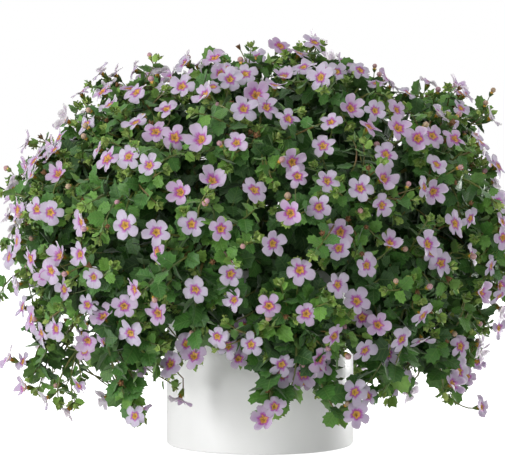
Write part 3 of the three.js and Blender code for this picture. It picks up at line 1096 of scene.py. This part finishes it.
# a bud and a spent calyx here and there: how often, from which pair of the shoot, and how large
extraRule = {
    "kinds": (
        ("bud", {"odds": 0.22, "pair": 2, "radius": (1.9, 2.6), "below": 1.8}),
        ("spent", {"odds": 0.2, "pair": 3, "radius": (1.6, 2.2), "below": 1.4}),
    ),
    "leastPairs": 4,
    "aside": 0.8,
    "up": 0.2,
    "length": (9, 15),
    "out": 2,
    "bendAside": 3,
    "bendOn": 4,
    "stalk": 0.42,
}
# a flower's own stalk, from this point of its shoot. Behind and bend are in the flower's radius and the reach
flowerStalk = {"from": 4, "steps": 4, "behind": 0.8, "bend": 0.4, "radius": 0.5, "cuppedPinker": 0.5}
# shoots are even over the crown: how far they stray from that, and how far below the skirt they may go
spotRule = {"levelStray": 0.03, "turnStray": 0.1, "underSkirt": 0.02}
# older shoots under the others, and a few deep ones that close the view through the plant
innerRules = [
    {
        "count": 300, "share": (0.76, 0.9), "gaps": (3, 7, 8, 9, 9, 10, 10),
        "sizes": (12, 13, 14, 15, 15, 14, 14),
    },
    {"count": 170, "share": (0.55, 0.74), "gaps": (3, 9, 10, 11, 11), "sizes": (17, 19, 20, 20, 19)},
    {"count": 50, "share": (0.25, 0.5), "gaps": (3, 11, 12), "sizes": (21, 22, 22), "from": (2, 9)},
    # an apron in front of the pot
    {
        "count": 520, "share": (0.84, 0.94), "gaps": (2, 6, 8, 9, 9), "sizes": (11, 14, 15, 15, 15),
        "levels": (-0.72, -0.2), "azimuths": (203, 335),
    },
    # and a thicker place in it, before the pot's right edge
    {
        "count": 900, "share": (0.78, 0.9), "gaps": (2, 6, 8), "sizes": (12, 14, 14),
        "levels": (-0.8, -0.45), "azimuths": (288, 312),
    },
]
# the inner shoots leave their stem between these points, and keep this far from the pot
innerFrom = (7, 13)
potClear = 20
# the foliage is thick down to this level, lower at the front and higher at the left
thick = {
    "level": -0.54,
    "innerLower": 0.04,
    "thinShare": 0.2,
    # azimuth, how much higher, how wide
    "changes": ((278, -0.26, 30), (190, 0.13, 40)),
}
moreFlowers = {
    "count": 125,
    "spacing": 14,
    "radius": (8, 11),
    "cupped": 0.16,
    "share": (0.94, 1.01),
    "light": (-0.1, -0.4, 0.1),
    "levels": 1.75,
    "overSkirt": 0.05,
    "stray": 0.3,
    # on a shoot that stands up: how far out and down from its tip, and how much it strays
    "standOut": 8,
    "standDown": 7,
    "standStray": 3,
    "standTurn": 0.25,
    # a stalk comes from behind the flower, from one of the nearest nodes
    "back": 18,
    "leastBehind": -4,
    # added to the distance of a node in front of the flower, so that it comes last
    "frontLast": 1000,
    "tries": 6,
}
# shoots that hang below the rest: azimuth, how high their lowest tip is, and how far out it hangs
trailRule = {
    "tips": (
        (188, 42, 1.05), (231, 32, 0.9), (243, 66, 0.9), (251, 76, 0.86), (262, 76, 0.86),
        (272, 34, 0.86), (279, 42, 0.86), (288, 52, 0.86), (297, 34, 0.86), (295, 82, 0.92),
        (305, 52, 0.86), (318, 44, 0.86), (335, 46, 0.9), (350, 40, 0.93), (8, 56, 0.9),
        (53, 50, 0.86), (98, 46, 0.86), (143, 50, 0.86),
    ),
    "shoots": 3,
    "rise": 12,
    "rootLevel": -0.52,
    "rootShare": 0.92,
    "stray": 0.04,
    "turnStray": 0.05,
    "tilt": 0.15,
    "pairs": 10,
    "leafScale": 1.3,
    "blooms": 0.6,
    "bloomOut": 9,
    "bloomStray": 5,
    "bloomTurn": 0.2,
}


def thickLevel(azimuth):
    level = thick["level"]
    for side, change, width in thick["changes"]:
        away = (math.degrees(azimuth) - side + 180) % 360 - 180
        level += change * math.exp(-(away / width) ** 2)
    return level


def inHollow(azimuth, level):
    at = direction(azimuth, level)
    hollows = shootRule["hollows"]
    return any(np.linalg.norm(at - direction(math.radians(a), up)) < wide for a, up, wide in hollows)


def matrixAt(place, forward, upper, size):
    # Y along the forward, Z on the upper side
    y = unit(forward)
    z = unit(upper - y * upper.dot(y))
    return placing(place, np.cross(y, z), y, z, size)


def facingMatrix(place, facing, roll, size):
    x, y = across(facing, roll)
    return placing(place, x, y, facing, size)


def placing(place, x, y, z, size):
    matrix = np.eye(4)
    for k, axis in enumerate((x, y, z)):
        matrix[:3, k] = axis * size * mm
    matrix[:3, 3] = place * mm
    return matrix


def upward(by):
    return np.array([0, 0, by])


def anyWay(chance):
    return np.array([chance.gauss(0, 1) for _ in range(3)])


def hidesFlower(plant, place, clear=shootRule["keepClear"]):
    offset = place - plant["places"]
    height = (offset * plant["facings"]).sum(axis=1)
    beside = np.linalg.norm(offset - plant["facings"] * height[:, None], axis=1)
    level = (height > shootRule["clearBehind"]) & (height < shootRule["clearBefore"])
    return bool(((beside < clear) & level).any())


def crossesFlower(plant, way):
    return any(hidesFlower(plant, place, shootRule["stalkClear"]) for place in way)


def addLeaf(plant, stem, kind, place, forward, upper, size, tint):
    if hidesFlower(plant, place + unit(forward) * size * 0.5):
        return
    shape = plant["chance"].choice(plant["shapes"][kind])
    stem["copies"].append((shape, matrixAt(place, forward, upper, size), min(1, max(0, tint))))


def shootWay(plant, stem, root, tip, normal, inner):
    rule = shootRule
    reach = np.linalg.norm(tip - root)
    outward = normal if inner else stem["facing"]
    bend = root + outward * reach * rule["bendOut"] + (tip - root) * rule["bendOn"]
    bend = bend + anyWay(plant["chance"]) * rule["sway"]
    way = quadratic(root, bend, tip, rule["steps"])
    if not inner and crossesFlower(plant, way[2:]):
        # goes under the flowers instead of past them
        lower = normal * rule["goUnder"]
        way = quadratic(root, bend - lower, tip - lower, rule["steps"])
    return way


def growPair(plant, stem, pair, node, normal, size, inner):
    chance, rule = plant["chance"], pairRule
    here, onward, x, _ = node
    young = pair < rule["youngPairs"]
    age = 1 if inner else min(1, pair / rule["oldAt"])
    kind = "inner" if inner or pair >= rule["plainFrom"] else "young" if young else "old"
    tilt = rule["faceStray"] + rule["topStray"] * max(0, normal[2]) ** 2
    tint = rule["innerTint"] if inner else rule["youngTint"] - rule["tintDrop"] * age ** rule["tintBend"]
    for side in (x, -x):
        length = size * chance.uniform(*rule["sizeStray"])
        rise = rule["youngRise" if young else "rise"] + swing(chance, rule["riseStray"])
        forward = side + onward * (rise - rule["oldSink"] * age) + upward(-rule["oldHang"] * age)
        upper = onward * rule["faceOn"] + normal * rule["faceOut"] + upward(rule["faceUp"])
        upper = upper + anyWay(chance) * tilt
        ownTint = tint + chance.gauss(0, rule["tintStray"])
        addLeaf(plant, stem, kind, here + side * rule["fromStalk"], forward, upper, length, ownTint)


def growShoot(plant, stem, root, tip, normal, pairs, inner=None, leafScale=1):
    chance = plant["chance"]
    rule = inner or shootRule
    way = shootWay(plant, stem, root, tip, normal, inner)
    stem["stalks"].append((way, np.linspace(*shootRule["radii"], len(way))))
    lengths = np.concatenate([[0], np.cumsum(np.linalg.norm(np.diff(way, axis=0), axis=1))])
    fromTip = 0
    turn = chance.uniform(0, math.pi)
    nodes = []
    for pair in range(min(pairs, len(rule["gaps"]))):
        fromTip += rule["gaps"][pair] * chance.uniform(*pairRule["gapStray"])
        at = lengths[-1] - fromTip
        if at < 0:
            break
        here, ahead, behind = (
            np.array([np.interp(at + step, lengths, way[:, k]) for k in range(3)]) for step in (0, 3, -3)
        )
        onward = unit(ahead - behind)
        turn += math.pi / 2 + swing(chance, pairRule["turnStray"])
        nodes.append((here, onward, *across(onward, turn)))
        growPair(plant, stem, pair, nodes[-1], normal, rule["sizes"][pair] * leafScale, inner)
    stem["nodes"].extend(nodes)
    return way, nodes


def growRosette(plant, stem, way, normal):
    chance, rule = plant["chance"], rosetteRule
    tip = way[-1]
    onward = unit(way[-1] - way[-2])
    for k in range(rule["leaves"]):
        x, _ = across(onward, k * goldenAngle + swing(chance, rule["turnStray"]))
        forward = x * chance.uniform(*rule["aside"]) + onward * chance.uniform(*rule["onward"])
        upper = onward * rule["faceOn"] - x * rule["faceIn"] + normal * rule["faceOut"]
        size = chance.uniform(*rule["sizes"]) + rule["step"] * k
        place = tip - onward * rule["step"] * k
        addLeaf(plant, stem, "newest", place, forward, upper, size, chance.uniform(*rule["tints"]))
    for _ in range(rule["buds"]):
        place = tip + onward * chance.uniform(*rule["budOn"]) + anyWay(chance) * rule["budStray"]
        around = facingMatrix(place, onward, 0, chance.uniform(*rule["budRadius"]))
        stem["copies"].append((plant["shapes"]["tinyBud"], around, chance.uniform(*rule["budTints"])))


def growExtras(plant, stem, nodes, normal):
    chance, rule = plant["chance"], extraRule
    for kind, own in rule["kinds"]:
        if chance.random() > own["odds"] or len(nodes) < rule["leastPairs"]:
            continue
        at, onward, x, y = nodes[own["pair"]]
        turn = chance.uniform(0, fullTurn)
        side = x * math.cos(turn) + y * math.sin(turn)
        facing = unit(normal + side * rule["aside"] + upward(rule["up"]))
        end = at + facing * chance.uniform(*rule["length"]) + normal * rule["out"]
        if hidesFlower(plant, end):
            continue
        radius = chance.uniform(*own["radius"])
        below = end - facing * radius * own["below"]
        bend = at + side * rule["bendAside"] + onward * rule["bendOn"]
        stem["stalks"].append((quadratic(at, bend, below, 3), [rule["stalk"]] * 4))
        placed = facingMatrix(end, facing, turn, radius)
        stem["copies"].append((plant["shapes"][kind], placed, chance.random()))


def addFlower(plant, stem, bloom, start, kind):
    chance = plant["chance"]
    at, facing, radius = bloom["at"], bloom["facing"], bloom["radius"]
    rule, steps = flowerStalk, flowerStalk["steps"]
    behind = at - facing * radius * rule["behind"]
    reach = np.linalg.norm(behind - start)
    way = quadratic(start, behind - facing * reach * rule["bend"], behind, steps)
    stem["stalks"].append((way, [rule["radius"]] * (steps + 1)))
    tint = chance.random() ** 2 + (rule["cuppedPinker"] if kind == "cupped" else 0)
    shape = chance.choice(plant["shapes"][kind])
    stem["petals"].append((shape, facingMatrix(at, facing, bloom["roll"], radius), min(1, tint)))


def openOrCupped(chance, share):
    return "cupped" if chance.random() < share else "opened"


def growTippedShoot(plant, stem, root, tip, normal, pairs, bloom=None, leafScale=1):
    way, nodes = growShoot(plant, stem, root, tip, normal, pairs, leafScale=leafScale)
    growRosette(plant, stem, way, normal)
    if bloom:
        kind = openOrCupped(plant["chance"], shootRule["cupped"])
        addFlower(plant, stem, bloom, way[flowerStalk["from"]], kind)
    growExtras(plant, stem, nodes, normal)


def growFlowerShoot(plant, stem, bloom):
    rule = shootRule
    x, _ = across(bloom["facing"], plant["chance"].uniform(0, fullTurn))
    tip = bloom["at"] - bloom["facing"] * rule["flowerBack"] + x * rule["flowerAside"]
    pairs = rule["flowerPairs" if bloom["level"] > thickLevel(bloom["azimuth"]) else "thinPairs"]
    growTippedShoot(plant, stem, bloom["root"], tip, bloom["normal"], pairs, bloom)


def extraFlower(chance, stem, at, out, stray):
    # it turns a little towards the light in front, unless it is on the plant's back
    facing = out + np.array(moreFlowers["light"]) * (1 - max(0, out[1])) + anyWay(chance) * stray
    return {
        "at": at,
        "facing": unit(facing),
        "radius": chance.uniform(*moreFlowers["radius"]),
        "roll": chance.uniform(0, fullTurn),
        "stem": stem,
        "kind": openOrCupped(chance, moreFlowers["cupped"]),
    }


def placeMoreFlowers(stems, flowers):
    # the solids hold the largest flowers, and these stand between them and on the shoots that stand up
    rule = moreFlowers
    chance = random.Random(seeds["moreFlowers"])
    found = []
    for degrees, level, share in shootRule["standing"]:
        azimuth = math.radians(degrees)
        out = facingOut(azimuth, level)
        at = crownPoint(azimuth, level, share) + out * rule["standOut"] + anyWay(chance) * rule["standStray"]
        at[2] -= rule["standDown"]
        found.append(extraFlower(chance, nearestStem(stems, at), at, out, rule["standTurn"]))
    places = [f["at"] for f in flowers + found]
    while len(found) < rule["count"]:
        azimuth = chance.uniform(0, fullTurn)
        level = 1 - chance.random() * rule["levels"]
        if level < skirtLevel(azimuth) + rule["overSkirt"]:
            continue
        at = crownPoint(azimuth, level, chance.uniform(*rule["share"]))
        if np.linalg.norm(np.array(places) - at, axis=1).min() < rule["spacing"]:
            continue
        places.append(at)
        out = facingOut(azimuth, level)
        found.append(extraFlower(chance, nearestStem(stems, at), at, out, rule["stray"]))
    return found


def crownSpots(count, chance):
    # even over the crown, each a little off its place
    for i in range(count):
        level = min(0.99, 1 - 2 * (i + 0.5) / count + swing(chance, spotRule["levelStray"]))
        azimuth = i * goldenAngle + swing(chance, spotRule["turnStray"])
        if level > skirtLevel(azimuth) - spotRule["underSkirt"]:
            yield azimuth, level


def planTrails(stems, chance):
    rule = trailRule
    trails, blooms = [], []
    for degrees, lowest, out in rule["tips"]:
        for k in range(rule["shoots"]):
            azimuth = math.radians(degrees) + chance.uniform(-1, 1) * rule["turnStray"]
            edge = crownPoint(azimuth, rule["rootLevel"], rule["rootShare"])
            stem = nearestStem(stems, edge)
            tip = edge * (out + chance.uniform(-1, 1) * rule["stray"])
            tip[2] = lowest + rule["rise"] * k
            normal = unit(direction(azimuth, 0) + upward(rule["tilt"]))
            trails.append((stem, shootRoot(stem, edge), tip, normal, rule["pairs"]))
            if chance.random() < rule["blooms"]:
                at = tip + normal * rule["bloomOut"] + anyWay(chance) * rule["bloomStray"]
                blooms.append(extraFlower(chance, stem, at, normal, rule["bloomTurn"]))
    return trails, blooms


def planFillers(plant, stems):
    chance, rule = plant["chance"], shootRule
    spots = []
    for azimuth, level in crownSpots(rule["fillers"], chance):
        if level < thickLevel(azimuth) and chance.random() > thick["thinShare"]:
            continue
        share = chance.uniform(*rule["fillerShare"])
        if inHollow(azimuth, level):
            share = rule["shortShare"]
        elif chance.random() < rule["sprigs"]:
            share = chance.uniform(*rule["sprigOut"]) + rule["sprigUp"] * max(0, level)
        if hidesFlower(plant, crownPoint(azimuth, level, share)):
            share = rule["shortShare"]
        spots.append((azimuth, level, share))
    spots += [(math.radians(degrees), level, share) for degrees, level, share in rule["standing"]]
    shoots = []
    for azimuth, level, share in spots:
        tip = crownPoint(azimuth, level, share)
        stem = nearestStem(stems, tip)
        shoots.append((stem, shootRoot(stem, tip), tip, crownNormal(azimuth, level), rule["fillerPairs"]))
    return shoots


def growInner(plant, stems, rule):
    chance = plant["chance"]
    left, right = rule.get("azimuths", (0, 360))
    for azimuth, level in crownSpots(rule["count"], chance):
        lowest, highest = rule.get("levels", (thickLevel(azimuth) - thick["innerLower"], 1))
        if not lowest <= level <= highest or not left <= math.degrees(azimuth) % 360 <= right:
            continue
        tip = crownPoint(azimuth, level, chance.uniform(*rule["share"]))
        besidePot = math.hypot(tip[0], tip[1]) < potShape["radius"] + potClear
        if besidePot and tip[2] < potShape["height"] + potClear:
            continue
        stem = nearestStem(stems, tip)
        root = stem["way"][chance.randint(*rule.get("from", innerFrom))]
        growShoot(plant, stem, root, tip, crownNormal(azimuth, level), len(rule["gaps"]), inner=rule)


def growMoreFlower(plant, bloom):
    at, facing = bloom["at"], bloom["facing"]
    nodes = np.array([node[0] for node in bloom["stem"]["nodes"]])
    wanted = at - facing * moreFlowers["back"]
    inFront = (nodes - at) @ facing > moreFlowers["leastBehind"]
    order = np.argsort(np.linalg.norm(nodes - wanted, axis=1) + moreFlowers["frontLast"] * inFront)
    nearest = nodes[order[:moreFlowers["tries"]]]
    ways = [quadratic(node, wanted, at, flowerStalk["steps"])[:3] for node in nearest]
    free = [node for node, way in zip(nearest, ways) if not crossesFlower(plant, way)]
    addFlower(plant, bloom["stem"], bloom, (free or nearest)[0], bloom["kind"])


def growPlant(plant):
    chance = plant["chance"] = random.Random(seeds["growth"])
    stems = placeStems()
    flowers = placeFlowers(stems)
    trails, trailBlooms = planTrails(stems, chance)
    more = placeMoreFlowers(stems, flowers + trailBlooms) + trailBlooms
    for key, part in (("places", "at"), ("facings", "facing")):
        plant[key] = np.array([f[part] for f in flowers + more])
    for stem in stems:
        stem.update(stalks=[], copies=[], petals=[], nodes=[], way=stemWay(stem))
        for bloom in stem["flowers"]:
            growFlowerShoot(plant, stem, bloom)
    for shoot in planFillers(plant, stems):
        growTippedShoot(plant, *shoot)
    for shoot in trails:
        growTippedShoot(plant, *shoot, leafScale=trailRule["leafScale"])
    for rule in innerRules:
        growInner(plant, stems, rule)
    for bloom in more:
        growMoreFlower(plant, bloom)
    return stems


# Building the pieces

mainStem = {"footWider": 1.15, "headRadius": 1.1}


def stalkShape(stalks, corners):
    # stalks: (points in millimetres, radii in millimetres)
    curve = bpy.data.curves.new("stalks", "CURVE")
    curve.dimensions = "3D"
    curve.bevel_depth = mm
    curve.bevel_resolution = corners
    curve.use_fill_caps = True
    for way, radii in stalks:
        spline = curve.splines.new("POLY")
        spline.points.add(len(way) - 1)
        for point, place, radius in zip(spline.points, way, radii):
            point.co = (*(place * mm), 1)
            point.radius = radius
    carrier = addToScene("stalks", curve)
    mesh = bpy.data.meshes.new_from_object(carrier.evaluated_get(bpy.context.evaluated_depsgraph_get()))
    shape = arraysOf(mesh)
    shape["slots"][:] = foliageLooks.index("stem")
    bpy.data.objects.remove(carrier)
    bpy.data.curves.remove(curve)
    bpy.data.meshes.remove(mesh)
    return shape


def buildStem(number, stem, materials):
    node = f"leafy_stem_{number:02d}"
    foot = stemRule["radius"] * mainStem["footWider"]
    main = (stem["way"], np.linspace(foot, mainStem["headRadius"], len(stem["way"])))
    stalks = [(stalkShape([main], 1), np.eye(4), 0.5), (stalkShape(stem["stalks"], 0), np.eye(4), 0.5)]
    own = [materials[look] for look in foliageLooks]
    foliage = joinCopies(f"foliage_{number:02d}", stalks + stem["copies"], own)
    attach(foliage, "root")
    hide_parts(node)
    own = [materials[look] for look in bloomLooks]
    blooms = joinCopies(f"blooms_{number:02d}", stem["petals"], own)
    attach(blooms, "root")
    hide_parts(node)


def buildShapes():
    chance = random.Random(seeds["shapes"])
    shapes = {}
    for kind in ("old", "young", "newest", "inner"):
        shapes[kind] = [makeLeaf(chance, kind) for _ in range(leafShape[kind]["count"])]
    for kind in ("opened", "cupped"):
        shapes[kind] = [makeFlower(chance, kind) for _ in range(flowerShape[kind]["count"])]
    shapes.update(bud=makeBud(), spent=makeSpent(), tinyBud=makeTinyBud())
    return shapes


# Pot and soil

potShape = {
    "radius": 75,
    "height": 140,
    "wall": 3,
    "floor": 4,
    "foot": 1.2,
    "rimRound": 0.8,
    "steps": 96,
    "drainHoles": 4,
    "drainRadius": 4,
    "drainCircle": 46,
    "drainSides": 24,
}
potLook = {
    "roughness": 0.32,
    "patches": 7,
    "stops": [(0.3, (243, 243, 242)), (0.7, (248, 248, 248))],
    "grain": 350,
    "depth": 0.00005,
    "strength": 0.3,
}
soilShape = {"top": 128, "bottom": 4.3, "radius": 71.7, "steps": 64, "rings": 14, "lumps": 1.6}
soilLook = {
    "roughness": 0.95,
    "patches": 300,
    "detail": 6,
    "stops": [(0.35, (28, 20, 14)), (0.6, (70, 52, 38))],
    "grain": 300,
    "depth": 0.002,
    "strength": 0.8,
}


def cutDrainHoles(pot):
    radius, count = potShape["drainRadius"] * mm, potShape["drainHoles"]
    bm = bmesh.new()
    for k in range(count):
        hole = bmesh.ops.create_cone(
            bm, cap_ends=True, segments=potShape["drainSides"], radius1=radius, radius2=radius,
            depth=4 * potShape["floor"] * mm,
        )["verts"]
        aside = direction((k + 0.5) / count * fullTurn, 0) * potShape["drainCircle"] * mm
        bmesh.ops.translate(bm, verts=hole, vec=aside)
    holes = finishMesh("drain_holes", bm, [])
    cut = pot.modifiers.new("drain", "BOOLEAN")
    cut.operation = "DIFFERENCE"
    cut.solver = "EXACT"
    cut.object = holes
    whole = pot.data
    pot.data = bpy.data.meshes.new_from_object(pot.evaluated_get(bpy.context.evaluated_depsgraph_get()))
    pot.modifiers.clear()
    bpy.data.objects.remove(holes)
    bpy.data.meshes.remove(whole)
    # where a hole's corner meets an edge of the pot, the cut leaves two points for one
    bm = bmesh.new()
    bm.from_mesh(pot.data)
    bmesh.ops.remove_doubles(bm, verts=bm.verts, dist=1e-6)
    bm.to_mesh(pot.data)
    bm.free()


def isFlatRim(edge):
    inner, outer = edge.verts
    atTop = min(inner.co.z, outer.co.z) > (potShape["height"] - 0.1) * mm
    return atTop and abs(inner.co.xy.length - outer.co.xy.length) < 1e-6


def buildPot():
    radius, height, foot, floor = (potShape[k] for k in ("radius", "height", "foot", "floor"))
    inside = radius - potShape["wall"]
    profile = [
        (0, 0), (radius - foot, 0), (radius, foot), (radius, height),
        (inside, height), (inside, floor), (0, floor),
    ]
    bm = bmesh.new()
    spinRound(bm, [(x * mm, z * mm) for x, z in profile], potShape["steps"])
    bmesh.ops.bevel(
        bm, geom=[e for e in bm.edges if isFlatRim(e)], offset=potShape["rimRound"] * mm,
        offset_type="OFFSET", affect="EDGES", segments=3, profile=0.5, material=-1, clamp_overlap=True,
    )
    pot = finishMesh("white_pot", bm, [mottledMaterial("pot_white", potLook)])
    cutDrainHoles(pot)
    pot.data.set_sharp_from_angle(angle=math.radians(35))
    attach(pot, "root")
    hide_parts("pot")


def buildSoil():
    top, radius = soilShape["top"], soilShape["radius"]
    rings = [(radius * k / soilShape["rings"], top) for k in range(soilShape["rings"] + 1)]
    profile = rings + [(radius, soilShape["bottom"]), (0, soilShape["bottom"])]
    bm = bmesh.new()
    spinRound(bm, [(x * mm, z * mm) for x, z in profile], soilShape["steps"])
    chance = random.Random(seeds["soil"])
    for v in bm.verts:
        if v.co.z > (top - 1) * mm and v.co.xy.length < (radius - 1) * mm:
            v.co.z += swing(chance, soilShape["lumps"]) * mm
    soil = finishMesh("potting_soil", bm, [mottledMaterial("soil_dark", soilLook)])
    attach(soil, "root")
    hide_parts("soil")


addCamera()
makeMottle()
makeVeins()
makeFromMiddle()
buildStudio()
report("studio")
buildPot()
buildSoil()
report("pot and soil")
shapes = buildShapes()
report("shapes")
stems = growPlant({"shapes": shapes})
report("growth")
materials = {
    "leafUpper": leafMaterial("leaf_upper", 0.48),
    "leafUnder": leafMaterial("leaf_under", 0.65, paler=(30, 22, 26)),
    "calyx": calyxMaterial(),
    "bud": budMaterial(),
    "tube": mottledMaterial("tube_yellow", tubeLook),
    "stem": mottledMaterial("stem_green_brown", stemLook),
    "spent": mottledMaterial("spent_brown", spentLook),
    "petal": petalMaterial(),
    "petalBack": petalBackMaterial(),
}
for number, stem in enumerate(stems, start=1):
    buildStem(number, stem, materials)
report("leafy stems")
shown = [o for o in bpy.data.objects if o.name.startswith(("foliage", "blooms"))]
triangles = [sum(len(p.vertices) - 2 for p in o.data.polygons) for o in shown]
report(f"{sum(triangles)} triangles, at most {max(triangles)} in a piece")
